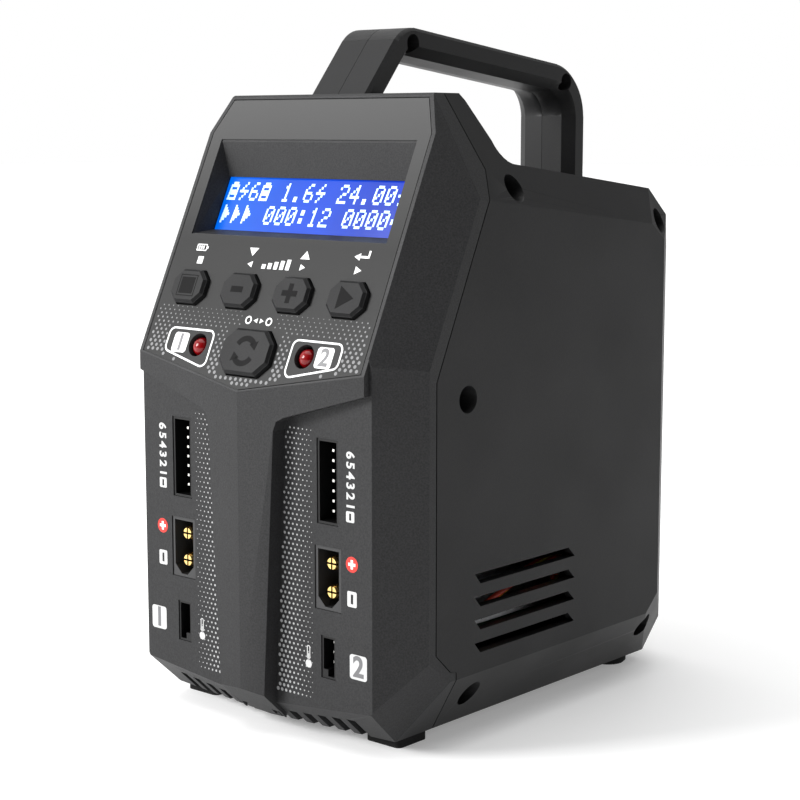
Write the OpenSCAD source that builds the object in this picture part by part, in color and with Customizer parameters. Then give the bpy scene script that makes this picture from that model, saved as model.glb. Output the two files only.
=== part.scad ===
// Upright two-channel balance charger with a carry handle.
// +Z is up, +Y points to the rear, and the origin is at the middle of the footprint, under the feet.

/* [Body] */
// Overall width
body_w = 101; // [100:1:103]
// Depth from the connector panels to the back
body_d = 128; // [127:1:132]
// Height of the hood above the table
hood_z = 161; // [160:0.5:162]
// Height of the feet
foot_h = 2.5; // [2:0.25:3]
// Wall thickness of the casings
wall = 2.5; // [2.2:0.1:2.8]
// Lean of the fascia from the vertical, in degrees
lean = 24.85; // [24:0.05:25.5]
// Gap along the parting line
parting_gap = 0.35; // [0.2:0.05:0.5]

/* [Handle] */
// Half width of the handle
handle_half_w = 10; // [9:0.5:11]
// Thickness of the handle at its centre
handle_t = 7.7; // [7:0.1:8.4]
// Height of the handle's highest line above the table
handle_top_z = 178.3; // [177:0.1:180]

/* [Controls] */
// Travel of each button
button_travel = 0.8; // [0.5:0.1:0.8]
// Gap around each button
button_gap = 0.3; // [0.25:0.05:0.4]
// Width of the small buttons
key_w = 12; // [11.5:0.1:12.4]
// Height of the small buttons
key_h = 9.2; // [9:0.1:9.6]
// Width of the channel button
channel_w = 17.4; // [17:0.1:17.8]
// Height of the channel button
channel_h = 12; // [11.6:0.1:12.4]
// Lamp diameter
led_d = 5; // [4.8:0.1:5.2]

/* [Connectors] */
// Pitch of the balance and sensor pins
pin_pitch = 2.5; // [2.5:0.04:2.54]
// Distance between the two power pins
power_pitch = 7.2; // [7.1:0.1:7.3]
// Distance of the socket columns from the centre
socket_x = 26; // [25.5:0.1:26.5]

/* [Cooling] */
// Thickness of the fan
fan_t = 15; // [14:1:16]
// Rotor blades
fan_blades = 7; // [5:1:9]

/* [Hidden] */

$fn = 48;
eps = 0.01;
big = 400;

side_x = body_w / 2;
front_reach = 5;                        // the ridge stands this far in front of the panels
mid_y = (body_d - front_reach) / 2;     // middle of the footprint, measured from the panels
fascia_top = [28.7, 160.5];             // [y, z] of the fascia's top edge
top_slope = 0.1184;                     // fall of the rear top per millimetre of depth
side_fold_z = 135.1;                    // height of the side's upper fold near the front
low_fold_z = 18.3;                      // height of the side's lower fold
floor_half_w = 39.3;                    // half width of the flat underside

// Corners of the right-hand facets, [x, y, z] from the panel plane
brow = [35.2, 28.7, 160.5];
temple = [39.5, 24.4, 151.2];
cheek = [39.7, -1.8, 94.7];
shoulder = [side_x, 28, 135.6];
fold_front = [side_x, 32.5, side_fold_z];
fold_rear = [side_x, 102.5, side_fold_z - 70 * top_slope];
toe = [39.3, 8.9, foot_h + 0.9];

// The chamfer under the panels, which carries the chin slots
chin_facet = [[39.75, 0, 11.76], [10, 0, 8.75], toe];

// The chamfer at the lower end of the ridge
ridge_foot = [[10, -4.7, 11.4], [0, -4.7, 11.4], [0, 5, foot_h]];

// Three corners for each right-hand facet, ordered so that the normal points outwards
right_facets = [
    [temple, cheek, shoulder],
    [brow, temple, shoulder],
    [fold_front, fold_rear, brow + [0.1, 0, 0]],
    [[side_x, 0, low_fold_z], [floor_half_w, 0, foot_h], [side_x, 50, low_fold_z]],
    [[40.5, 0, 0], [side_x, 9.35, 0], [side_x, 9.35, 50]],
    [[side_x, 9.35, 24.5], [40.5, 0, 12.5], toe],
    chin_facet,
    [[side_x, 108.7, 0], [38.6, body_d, 0], [side_x, 108.7, 50]],
    [fold_rear, [side_x, 108.5, 122.4], [44.3, 109.4, 136.2]],
    [[side_x, 103.1, low_fold_z], [floor_half_w, 118.4, foot_h], [side_x, 108.9, 23.5]]
];

// Outline of the body from the side, as [y, z]
hood_arc_centre = [50.3, 149.4];
hood_arc_r = 6;
body_outline = concat(
    [[0, foot_h], [0, 98.7], fascia_top, [fascia_top[0] + 0.6, hood_z], [39.6, hood_z], [40.9, 159.2]],
    [for (a = [180:15:262]) hood_arc_centre + hood_arc_r * [cos(a), sin(a)]],
    [[110, top_z(110)], [body_d, 119], [body_d, 16], [119, foot_h]]
);
function top_z(y) = 143.2 - top_slope * (y - 49.7);

// Parting line between the front casing and the two shells, as [y, z]
parting = [
    [33, 200], [33, 161], [35.6, 142.4], [31.4, 135.1], [11.8, 92.7],
    [11.8, 26], [17.3, 20.7], [19.5, 20.2], [19.5, 18.4], [24.3, 0]
];

// Screws that hold the shells together, as [y, z], with the outside of each one in x
body_screws = [[44.4, 137.7], [23.8, 87.5], [30.7, 11.4], [107.3, 13.5], [109.2, 127.3]];
handle_screws = [[50.4, 174.2], [118, 165.6]];

// Controls on the fascia, [across, along the slope], measured from the middle of its top edge
recess_top = -12.1;
recess_bottom = -39.2;
recess_half_w = 34.3;
recess_depth = 5;
window_half_w = 32.2;
window_top = -20.9;
window_bottom = -35.8;
key_row = -54.1;
key_x = [-27.8, -9.3, 9.3, 27.8];
channel_row = -70;
led_row = -69.3;
led_x = 18.9;
board_depth = 11.4;
board_post_x = 33;
board_posts = [-46, -66];
board_pilot = 2;

// Heights of the connectors above the table
balance_z = 67.55;
power_z = 43.45;
sensor_z = 23.6;
connector_board_y = 10;
board_t = 1.6;

balance_pins = 7;
fan_size = 60;
fan_centre = [0, 84];                  // [x, z]
inlet_centre = [-17, 34];
dc_centre = [21, 34];
rear_panel_t = 2.4;
rear_y = body_d - 1;                    // outer face of the rear panel

module in_place() translate([0, -mid_y, 0]) children();
module both_sides() { children(); mirror([1, 0, 0]) children(); }
module on_fascia() translate([0, fascia_top[0], fascia_top[1]]) rotate([90 - lean, 0, 0]) children();
module from_side() rotate([90, 0, 90]) children();

// Everything beyond the plane through three corners, moved inwards by the inset
module beyond(corners, inset = 0) {
    normal = cross(corners[1] - corners[0], corners[2] - corners[0]);
    unit = normal / norm(normal);
    translate(corners[0] - unit * inset)
        rotate([0, acos(unit[2]), atan2(unit[1], unit[0])])
            translate([-big / 2, -big / 2, 0])
                cube(big);
}

module body_solid(inset = 0) difference() {
    translate([-side_x + inset, 0, 0])
        from_side()
            linear_extrude(body_w - 2 * inset)
                offset(delta = -inset)
                    polygon(body_outline);
    for (facet = right_facets) both_sides() beyond(facet, inset);
}

// Everything in front of the parting line, moved back by the shift
module front_zone(shift = 0)
    translate([-side_x - 1, 0, 0])
        from_side()
            linear_extrude(body_w + 2)
                polygon(concat([for (p = parting) [p[0] + shift, p[1]]], [[-20, 0], [-20, 200]]));

// The band under the fascia and the ridge that runs down from it, seen from the front
module tie_outline() polygon([
    [-39.7, 101], [-39.7, 89.8], [-15, 82.6], [-12.6, 81.4], [-11.6, 79], [-7.4, foot_h],
    [7.4, foot_h], [11.6, 79], [12.6, 81.4], [15, 82.6], [39.7, 89.8], [39.7, 101]
]);

module tie() difference() {
    translate([0, 4, 0]) rotate([90, 0, 0]) linear_extrude(12) tie_outline();
    both_sides() beyond([[0, -front_reach, 0], [39.7, -1.8, 0], [39.7, -1.8, 50]]);
    on_fascia() translate([-big / 2, -big / 2, 0]) cube(big);
    both_sides() beyond([temple, cheek, shoulder]);
    beyond(ridge_foot);
}

module octagon(w, h, cut) polygon([
    [-w / 2, -h / 2 + cut], [-w / 2 + cut, -h / 2], [w / 2 - cut, -h / 2], [w / 2, -h / 2 + cut],
    [w / 2, h / 2 - cut], [w / 2 - cut, h / 2], [-w / 2 + cut, h / 2], [-w / 2, h / 2 - cut]
]);

key_cut = 2.6;
channel_cut = 3.4;

// Funnel of the display recess, grown sideways by the margin
module recess_funnel(margin, depth) hull() {
    translate([-recess_half_w - margin, recess_bottom - margin, 0])
        cube([2 * (recess_half_w + margin), recess_top - recess_bottom + 2 * margin, eps]);
    translate([-window_half_w - margin, window_bottom - margin, -depth])
        cube([2 * (window_half_w + margin), window_top - window_bottom + 2 * margin, eps]);
}

module fascia_holes(grow = 0) {
    for (x = key_x) translate([x, key_row]) octagon(key_w + 2 * grow, key_h + 2 * grow, key_cut);
    translate([0, channel_row]) octagon(channel_w + 2 * grow, channel_h + 2 * grow, channel_cut);
    for (x = [-led_x, led_x]) translate([x, led_row]) circle(d = led_d + 1.2);
}

// Room behind the fascia for the channel button's flange and for the lamps
module fascia_pockets() {
    translate([0, channel_row, -board_depth])
        linear_extrude(board_depth - wall)
            octagon(channel_w + 2.6, channel_h + 2.6, channel_cut);
    for (x = [-led_x, led_x]) translate([x, led_row, -board_depth])
        cylinder(d = led_d + 1.6, h = board_depth - wall);
}

// Cooling slots that run down the chamfer under the connector panels and round its lower edge
module chin_slots() for (i = [0:5])
    translate([4.1 + 5 * i, -1, 0]) cube([2.7, 13, 5.4 + 0.5 * i]);

module socket_openings() both_sides() for (s = [[balance_z, 7.1, 21.2], [power_z, 8.8, 16], [sensor_z, 4.8, 10.8]])
    translate([socket_x - s[1] / 2, -1, s[0] - s[2] / 2]) cube([s[1], 8, s[2]]);

module front_casing() in_place() color([0.17, 0.17, 0.18]) difference() {
    union() {
        difference() {
            union() {
                intersection() { body_solid(); front_zone(); }
                tie();
            }
            intersection() { body_solid(wall); front_zone(1); }
            on_fascia() translate([0, 0, -wall - 1]) linear_extrude(wall + 2) fascia_holes(button_gap);
            on_fascia() translate([0, 0, -0.35]) linear_extrude(1) label_outline(0.4);
            on_fascia() fascia_pockets();
        }
        intersection() {
            on_fascia() translate([0, 0, -0.35]) recess_funnel(1.5, recess_depth - 0.35);
            body_solid();
        }
        on_fascia() for (x = [-1, 1], v = board_posts) translate([x * board_post_x, v, -board_depth])
            cylinder(d = 5, h = board_depth - 1);
    }
    on_fascia() translate([0, 0, 0.02]) recess_funnel(0, recess_depth + 0.1);
    socket_openings();
    both_sides() chin_slots();
    on_fascia() for (x = [-1, 1], v = board_posts) translate([x * board_post_x, v, -board_depth - 1])
        cylinder(d = board_pilot, h = 8);
}

module label_outline(grow = 0) offset(delta = grow) polygon([
    [-34, -0.9], [34, -0.9], [38.1, -10.3], [38.4, -72.1], [0, -79.6], [-38.4, -72.1], [-38.1, -10.3]
]);

module fascia_label() in_place() color([0.3, 0.3, 0.31]) on_fascia()
    translate([0, 0, -0.33]) linear_extrude(0.3) difference() {
        label_outline();
        fascia_holes(button_gap);
        translate([-recess_half_w, recess_bottom]) square([2 * recess_half_w, recess_top - recess_bottom]);
    }

// Display stack behind the recess
lcd_mid = (window_top + window_bottom) / 2;
module lcd_plate(w, h, front, back)
    translate([-w / 2, lcd_mid - h / 2, -back]) cube([w, h, back - front]);

module lcd_bezel() in_place() color([0.1, 0.1, 0.1]) on_fascia() difference() {
    lcd_plate(71, 24.2, 5.2, 8.6);
    lcd_plate(65, 15.6, 5, 6);
    lcd_plate(69, 22.2, 5.6, 9);
}
module lcd_glass() in_place() color([0.05, 0.35, 0.95]) on_fascia() lcd_plate(68.8, 22, 5.7, 6.8);
module lcd_backlight() in_place() color([0.9, 0.95, 1]) on_fascia() lcd_plate(68.8, 22, 6.8, 8.6);
module lcd_board() in_place() color([0.1, 0.4, 0.2]) on_fascia() lcd_plate(73, 27, 8.6, 10.2);

// A button with its flange and the stem that reaches for its switch
module button_at(x, row, w, h, cut) in_place() color([0.2, 0.2, 0.21]) on_fascia() translate([x, row, 0]) {
    translate([0, 0, -2.8]) linear_extrude(3.8) octagon(w, h, cut);
    hull() {
        translate([0, 0, 0.9]) linear_extrude(eps) octagon(w, h, cut);
        translate([0, 0, 1.7]) linear_extrude(eps) octagon(w - 1.4, h - 1.4, cut - 0.4);
    }
    translate([0, 0, -3.8]) linear_extrude(1.01) octagon(w + 1.6, h + 1.6, cut);
    translate([0, 0, -6.4]) cylinder(d = 4, h = 2.7);
}
module button_stop() button_at(key_x[0], key_row, key_w, key_h, key_cut);
module button_minus() button_at(key_x[1], key_row, key_w, key_h, key_cut);
module button_plus() button_at(key_x[2], key_row, key_w, key_h, key_cut);
module button_start() button_at(key_x[3], key_row, key_w, key_h, key_cut);
module button_channel() button_at(0, channel_row, channel_w, channel_h, channel_cut);

module tact_switches() in_place() color([0.75, 0.75, 0.77]) on_fascia()
    for (p = concat([for (x = key_x) [x, key_row]], [[0, channel_row]])) translate([p[0], p[1], -board_depth]) {
        translate([-3, -3, 0]) cube([6, 6, 3.4]);
        cylinder(d = 3.4, h = 4.1);
    }

module led_at(x) in_place() color([0.55, 0.03, 0.04]) on_fascia() translate([x, led_row, 0]) {
    translate([0, 0, -2]) sphere(d = led_d);
    translate([0, 0, -7]) cylinder(d = led_d, h = 5);
    translate([0, 0, -7.6]) cylinder(d = 5.8, h = 1);
    for (dx = [-1.27, 1.27]) translate([dx, 0, -board_depth]) cylinder(d = 0.6, h = 4.5, $fn = 16);
}
module led_a() led_at(-led_x);
module led_b() led_at(led_x);

module control_board() in_place() color([0.1, 0.4, 0.2]) on_fascia() difference() {
    translate([-36, -78, -board_depth - board_t]) cube([72, 35, board_t]);
    for (x = [-1, 1], v = board_posts) translate([x * board_post_x, v, -board_depth - 3])
        cylinder(d = board_pilot + 0.6, h = 5);
}

module board_screws() in_place() color([0.6, 0.6, 0.62]) on_fascia()
    for (x = [-1, 1], v = board_posts) translate([x * board_post_x, v, -board_depth]) difference() {
        union() {
            translate([0, 0, -1.7]) cylinder(d = board_pilot, h = 6.7);
            translate([0, 0, -3.2]) cylinder(d = 4.4, h = 1.6);
        }
        translate([0, 0, -3.6]) cylinder(d = 2, h = 1.2, $fn = 6);
    }

module connector_board() in_place() color([0.1, 0.4, 0.2])
    difference() {
        translate([-37, connector_board_y, 12.5]) cube([74, board_t, 68.5]);
        both_sides() {
            pin_slots(socket_x, balance_z, balance_pins, pin_size, pin_pitch);
            pin_slots(socket_x, sensor_z + 1, 3, pin_size, pin_pitch);
            for (s = [-1, 1]) translate([socket_x, 0, power_z + s * power_pitch / 2])
                y_rod(bullet_d, connector_board_y - 1, connector_board_y + 3);
        }
    }

// A shroud of outer size w by h with its mouth at the panel, open to the front
module shroud(x, z, w, h, rim, floor_t = 2.2) difference() {
    translate([x - w / 2, 0.25, z - h / 2]) cube([w, connector_board_y - 0.25, h]);
    translate([x - w / 2 + rim, -1, z - h / 2 + rim])
        cube([w - 2 * rim, connector_board_y - floor_t + 1, h - 2 * rim]);
}

module pin_row(x, z, count, size, pitch) for (i = [0:count - 1])
    translate([x - size / 2, 2.2, z + (i - (count - 1) / 2) * pitch - size / 2])
        cube([size, connector_board_y + 3 - 2.2, size]);

module pin_slots(x, z, count, size, pitch)
    for (i = [0:count - 1]) translate([x - size / 2, 2, z + (i - (count - 1) / 2) * pitch - size / 2])
        cube([size, connector_board_y + 2, size]);

pin_size = 0.64;
module balance_socket(x) in_place() color([0.05, 0.05, 0.05]) difference() {
    shroud(x, balance_z, 6.9, 21, 0.6);
    pin_slots(x, balance_z, balance_pins, pin_size, pin_pitch);
}
module balance_row(x) in_place() color([0.8, 0.8, 0.8])
    pin_row(x, balance_z, balance_pins, pin_size, pin_pitch);
module balance_socket_a() balance_socket(-socket_x);
module balance_socket_b() balance_socket(socket_x);
module balance_pins_a() balance_row(-socket_x);
module balance_pins_b() balance_row(socket_x);

// Outline of the power connector, seen from the front: one end is chamfered
module power_outline(w, h, cut) polygon([
    [-w / 2, -h / 2 + cut], [-w / 2 + cut, -h / 2], [w / 2 - cut, -h / 2], [w / 2, -h / 2 + cut],
    [w / 2, h / 2], [-w / 2, h / 2]
]);
bullet_d = 3.5;
module power_socket(x) in_place() color([0.12, 0.12, 0.12]) difference() {
    translate([x - 4.3, 0.25, power_z - 7.9]) cube([8.6, connector_board_y - 0.25, 15.8]);
    translate([x, 7.5, power_z]) rotate([90, 0, 0]) linear_extrude(10) power_outline(7, 14.4, 2.4);
    for (s = [-1, 1]) translate([x, 12, power_z + s * power_pitch / 2]) rotate([90, 0, 0])
        cylinder(d = bullet_d, h = 10);
}
module power_bullets(x) in_place() color([0.85, 0.65, 0.25])
    for (s = [-1, 1]) translate([x, 0, power_z + s * power_pitch / 2]) rotate([-90, 0, 0]) difference() {
        union() {
            translate([0, 0, 1.4]) cylinder(d1 = bullet_d - 0.6, d2 = bullet_d, h = 0.6);
            translate([0, 0, 2]) cylinder(d = bullet_d, h = connector_board_y + 0.6);
        }
        translate([-0.25, -3, 1]) cube([0.5, 6, 6]);
        translate([-3, -0.25, 1]) cube([6, 0.5, 6]);
    }
module power_socket_a() power_socket(-socket_x);
module power_socket_b() power_socket(socket_x);
module power_pins_a() power_bullets(-socket_x);
module power_pins_b() power_bullets(socket_x);

module sensor_socket(side) in_place() color([0.05, 0.05, 0.05]) difference() {
    union() {
        shroud(side * socket_x, sensor_z, 4.6, 10.6, 0.5);
        translate([side * socket_x - (side > 0 ? 2.3 : -0.3), 0.25, sensor_z - 5.3]) cube([2, 8, 2.2]);
    }
    pin_slots(side * socket_x, sensor_z + 1, 3, pin_size, pin_pitch);
}
module sensor_row(x) in_place() color([0.8, 0.8, 0.8]) pin_row(x, sensor_z + 1, 3, pin_size, pin_pitch);
module sensor_socket_a() sensor_socket(-1);
module sensor_socket_b() sensor_socket(1);
module sensor_pins_a() sensor_row(-socket_x);
module sensor_pins_b() sensor_row(socket_x);

// Handle: a section swept up the raked front leg, along the bar and down the rear leg
seam_gap = 0.06;
leg_rake = 50.7;
bar_fall = -7;
front_bend_r = 9.5;
rear_bend_r = 15.4;
bar_start = [52.1, handle_top_z - 0.1];
bar_length = 62.4;
run_overlap = 0.5;                      // the straight runs reach this far into the bends
bend_ease = 0.04;                       // the bends are this much slimmer, so the surfaces never coincide
function handle_section(ease = 0) = [
    [seam_gap, ease], [handle_half_w - 0.9, ease], [handle_half_w - ease, 0.9], [handle_half_w - ease, 4.7],
    [handle_half_w - 3.4, 7.1 - ease], [seam_gap, handle_t - ease]
];
function along(p, angle, s) = [p[0] + s * cos(angle), p[1] + s * sin(angle)];
function inner_side(p, angle, s) = [p[0] + s * sin(angle), p[1] - s * cos(angle)];
module handle_run(p, angle, length) translate([0, p[0], p[1]]) rotate([angle - 90, 0, 0])
    translate([0, 0, -run_overlap]) linear_extrude(length + 2 * run_overlap) polygon(handle_section());
module handle_bend(p, from_angle, to_angle, r) {
    c = inner_side(p, from_angle, r);
    translate([0, c[0], c[1]]) from_side()
        rotate_extrude(angle = from_angle - to_angle, start = to_angle + 90)
            polygon([for (q = handle_section(bend_ease)) [r - q[1], q[0]]]);
}
front_bend_c = inner_side(bar_start, bar_fall, front_bend_r);
front_bend_p = [front_bend_c[0] - front_bend_r * sin(leg_rake), front_bend_c[1] + front_bend_r * cos(leg_rake)];
bar_end = along(bar_start, bar_fall, bar_length);
rear_bend_c = inner_side(bar_end, bar_fall, rear_bend_r);
rear_bend_p = [rear_bend_c[0] + rear_bend_r, rear_bend_c[1]];
front_leg = 20;
rear_leg = 38;
handle_root = 1.2;                      // the handle's legs sink this far into the shells
module handle_half() difference() {
    union() {
        handle_run(along(front_bend_p, leg_rake, -front_leg), leg_rake, front_leg);
        handle_bend(front_bend_p, leg_rake, bar_fall, front_bend_r);
        handle_run(bar_start, bar_fall, bar_length);
        handle_bend(bar_end, bar_fall, -90, rear_bend_r);
        handle_run(rear_bend_p, -90, rear_leg);
    }
    body_solid(handle_root);
    intersection() { body_solid(); front_zone(parting_gap); }
}

// Four slanted cooling slots low on each side, seen from the side
module side_slots() for (i = [0:3]) translate([20, 0, 0]) from_side() linear_extrude(60)
    polygon([for (q = [[26.8, 43.6], [66, 43.6], [68.8, 40.9], [29.1, 40.9]]) [q[0], q[1] - 5.87 * i]]);

rear_window = [[-34, 18.5], [34, 18.5], [34, 115], [-34, 115]];
module shell_core() difference() {
    intersection() {
        difference() {
            body_solid();
            front_zone(parting_gap);
        }
        translate([seam_gap, -20, -1]) cube([big, big, big]);
    }
    body_solid(wall);
    translate([0, body_d + 1, 0]) rotate([90, 0, 0]) linear_extrude(8) polygon(rear_window);
}

head_seat = 12;
boss_d = 8.8;
bore_d = 6.8;
body_screw_d = 3;
handle_screw_d = 2;
module x_rod(p, d, from, to) translate([from, p[0], p[1]]) rotate([0, 90, 0]) cylinder(d = d, h = to - from);

// Pillars on the floor that carry the main board
module board_pillars() for (y = [42, 90]) translate([24, y, foot_h + 1])
    cylinder(d = 6, h = board_z - foot_h - 1);

module right_shell() in_place() color([0.12, 0.12, 0.13]) difference() {
    union() {
        shell_core();
        handle_half();
        intersection() {
            for (p = body_screws) x_rod(p, boss_d, seam_gap, side_x);
            difference() { body_solid(0.5); front_zone(parting_gap); }
        }
        board_pillars();
    }
    for (p = body_screws) {
        x_rod(p, bore_d, head_seat, side_x + 5);
        x_rod(p, body_screw_d + 0.4, -1, head_seat + 1);
    }
    for (p = handle_screws) {
        x_rod(p, 4.8, 5, 20);
        x_rod(p, handle_screw_d + 0.4, -1, 6);
    }
    side_slots();
}

module left_shell() in_place() color([0.12, 0.12, 0.13]) difference() {
    mirror([1, 0, 0]) union() {
        shell_core();
        handle_half();
        intersection() {
            for (p = body_screws) x_rod(p, boss_d, seam_gap, side_x);
            difference() { body_solid(0.5); front_zone(parting_gap); }
        }
        board_pillars();
    }
    for (p = body_screws) x_rod(p, body_screw_d, -14, 1);
    for (p = handle_screws) x_rod(p, handle_screw_d, -7, 1);
    mirror([1, 0, 0]) side_slots();
}

module shell_screws() in_place() color([0.15, 0.15, 0.15]) {
    for (p = body_screws) difference() {
        union() { x_rod(p, body_screw_d, -9.9, head_seat); x_rod(p, 5.6, head_seat, head_seat + 2.2); }
        x_rod(p, 2.2, head_seat + 1, head_seat + 3, $fn = 6);
    }
    for (p = handle_screws) difference() {
        union() { x_rod(p, handle_screw_d, -5, 5); x_rod(p, 4, 5, 6.5); }
        x_rod(p, 1.6, 5.7, 7);
    }
}

// Rear panel with the fan grille and the two power inlets
module grille() {
    for (r = [9:5:27]) difference() {
        circle(r = r + 3.4);
        circle(r = r);
        for (a = [0:45:135]) rotate(a + 22.5) square([2 * 40, 2], center = true);
    }
}
fan_hole_pitch = fan_size / 2 - 5;
fan_screw_d = 3;
module fan_corners() for (x = [-1, 1], z = [-1, 1])
    translate([fan_centre[0] + x * fan_hole_pitch, 0, fan_centre[1] + z * fan_hole_pitch]) children();
module y_rod(d, from, to) translate([0, to, 0]) rotate([90, 0, 0]) cylinder(d = d, h = to - from);

module rear_panel() in_place() color([0.12, 0.12, 0.13]) difference() {
    union() {
        translate([-33.9, rear_y - rear_panel_t - 0.1, 18.6]) cube([67.8, rear_panel_t + 0.1, 96.3]);
        translate([-35.8, body_d - 6.2, 16.8]) cube([71.6, 2.8, 100]);
    }
    translate([0, rear_y + 1, 0]) translate([fan_centre[0], 0, fan_centre[1]]) rotate([90, 0, 0])
        linear_extrude(10) grille();
    fan_corners() y_rod(fan_screw_d + 0.4, rear_y - 10, rear_y + 1);
    translate([inlet_centre[0] - 13.7, rear_y - 10, inlet_centre[1] - 9.8]) cube([27.4, 12, 19.6]);
    translate([dc_centre[0] - 8.1, rear_y - 10, dc_centre[1] - 4.3]) cube([16.2, 12, 8.6]);
}

fan_front = body_d - 6.2 - fan_t;
module fan_frame() in_place() color([0.08, 0.08, 0.08]) translate([fan_centre[0], 0, fan_centre[1]]) {
    difference() {
        translate([-fan_size / 2, fan_front, -fan_size / 2]) cube([fan_size, fan_t, fan_size]);
        y_rod(56, fan_front - 1, fan_front + fan_t + 1);
        translate([-fan_centre[0], 0, -fan_centre[1]]) fan_corners() y_rod(fan_screw_d, fan_front - 1, body_d);
    }
    difference() {
        union() {
            y_rod(24, fan_front, fan_front + 1.8);
            for (a = [45:90:315]) rotate([0, a, 0]) translate([-1.5, fan_front, 10]) cube([3, 1.8, 19]);
        }
        y_rod(3, fan_front - 1, fan_front + 3);
    }
}

// Rotor on its shaft; each blade is a pitched plate
module fan_rotor() in_place() color([0.1, 0.1, 0.1]) translate([fan_centre[0], 0, fan_centre[1]]) {
    y_rod(24, fan_front + 3, fan_front + fan_t - 1.2);
    y_rod(2.9, fan_front + 0.3, fan_front + 4);
    for (i = [0:fan_blades - 1]) rotate([0, i * 360 / fan_blades, 0])
        translate([0, fan_front + 8.4, 11]) rotate([0, 0, 38]) translate([-6, -0.7, 0]) cube([12, 1.4, 15]);
}

module fan_screws() in_place() color([0.6, 0.6, 0.62]) fan_corners() difference() {
    union() {
        y_rod(fan_screw_d, rear_y - 14, rear_y);
        y_rod(5.6, rear_y, rear_y + 1);
    }
    translate([-2, rear_y + 0.5, -0.4]) cube([4, 1, 0.8]);
    translate([-0.4, rear_y + 0.5, -2]) cube([0.8, 1, 4]);
}

// Mains inlet: a moulded cup with three blades
module inlet_outline(w, h, cut) polygon([
    [-w / 2, -h / 2], [w / 2, -h / 2], [w / 2, h / 2 - cut], [w / 2 - cut, h / 2],
    [-w / 2 + cut, h / 2], [-w / 2, h / 2 - cut]
]);
blade_places = [[-7, -0.5], [7, -0.5], [0, 3.5]];
module inlet_frame() translate([inlet_centre[0], rear_y, inlet_centre[1]]) rotate([90, 0, 0]) children();
module ac_inlet() in_place() color([0.06, 0.06, 0.06]) inlet_frame() difference() {
    union() {
        translate([0, 0, -1]) linear_extrude(1) inlet_outline(31, 23.5, 4);
        translate([0, 0, -eps]) linear_extrude(20) inlet_outline(27.2, 19.4, 4.6);
    }
    translate([0, 0, -2]) linear_extrude(18) inlet_outline(24.4, 17, 4);
    for (b = blade_places) translate([b[0] - 1, b[1] - 2, 10]) cube([2, 4, 20]);
}
module ac_pins() in_place() color([0.78, 0.76, 0.7]) inlet_frame()
    for (b = blade_places) translate([b[0] - 1, b[1] - 2, 3]) cube([2, 4, 22]);

// Direct-current input: the same kind of connector as the outputs, lying on its side
module dc_frame() translate([dc_centre[0], rear_y, dc_centre[1]]) rotate([90, 0, 0]) children();
module dc_inlet() in_place() color([0.75, 0.62, 0.1]) dc_frame() difference() {
    translate([0, 0, -0.8]) linear_extrude(13) rotate(90) power_outline(8.1, 15.8, 2.6);
    translate([0, 0, -2]) linear_extrude(9.5) rotate(90) power_outline(6.7, 14.4, 2.4);
    for (s = [-1, 1]) translate([s * power_pitch / 2, 0, 0]) cylinder(d = bullet_d, h = 20);
}
module dc_pins() in_place() color([0.85, 0.65, 0.25]) dc_frame()
    for (s = [-1, 1]) translate([s * power_pitch / 2, 0, 0.4]) difference() {
        cylinder(d = bullet_d, h = 16);
        translate([-0.25, -3, -1]) cube([0.5, 6, 7]);
    }

// Power electronics on the main board, which stands along the middle
board_z = 20;
module main_board() in_place() color([0.1, 0.35, 0.2]) translate([-36, 22, board_z]) difference() {
    cube([72, 76, 1.6]);
    translate([36, 70, -1]) cube([40, 8, 4]);
}
board_top = board_z + 1.6;
module transformer() in_place() color([0.75, 0.6, 0.2]) translate([-23, 52, board_top]) {
    cube([28, 28, 7]);
    translate([3, 3, 7]) cube([22, 22, 16]);
    translate([0, 0, 23]) cube([28, 28, 6]);
}
module capacitors() in_place() color([0.15, 0.2, 0.35])
    for (p = [[-12, 38, 16, 28], [14, 38, 12, 22], [14, 54, 12, 22]]) translate([p[0], p[1], board_top]) {
        cylinder(d = p[2], h = p[3]);
        cylinder(d = p[2] + 0.8, h = 1.5);
    }
module inductors() in_place() color([0.72, 0.42, 0.2])
    for (y = [68, 84]) translate([12, y, board_top + 7.2]) rotate([0, 90, 0]) rotate_extrude()
        translate([5, 0]) square([2, 6]);
module heatsink(side) in_place() color([0.7, 0.7, 0.72]) mirror([side < 0 ? 1 : 0, 0, 0])
    translate([27, 34, board_top]) {
        cube([2.4, 56, 46]);
        for (z = [4:7:45]) translate([2.3, 0, z]) cube([9, 56, 1.4]);
    }
module heatsink_left() heatsink(-1);
module heatsink_right() heatsink(1);

// Leads from the mains inlet to the main board
lead_d = 2.2;
module lead_at(x, z, drop_y) {
    y_end = rear_y - 25;
    translate([x, 0, z]) y_rod(lead_d, drop_y, y_end);
    translate([x, drop_y, z]) sphere(d = lead_d, $fn = 24);
    translate([x, drop_y, board_top]) cylinder(d = lead_d, h = z - board_top);
}
module mains_lead_live() in_place() color([0.8, 0.15, 0.08])
    lead_at(inlet_centre[0] - 7, inlet_centre[1] - 0.5, 92);
module mains_lead_neutral() in_place() color([0.1, 0.2, 0.6])
    lead_at(inlet_centre[0] + 7, inlet_centre[1] - 0.5, 92);

// Feet
module front_foot() in_place() color([0.07, 0.07, 0.07]) translate([27.2, 12, 0]) linear_extrude(foot_h)
    translate([1.5, 1.5]) offset(r = 1.5) square([8.4, 8]);
module rear_foot() in_place() color([0.07, 0.07, 0.07]) translate([32.8, 110, 0]) {
    translate([0, 0, 0.6]) cylinder(d = 11, h = foot_h - 0.6);
    cylinder(d1 = 9.8, d2 = 11, h = 0.6);
}
module foot_front_right() front_foot();
module foot_front_left() mirror([1, 0, 0]) front_foot();
module foot_rear_right() rear_foot();
module foot_rear_left() mirror([1, 0, 0]) rear_foot();

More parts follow.
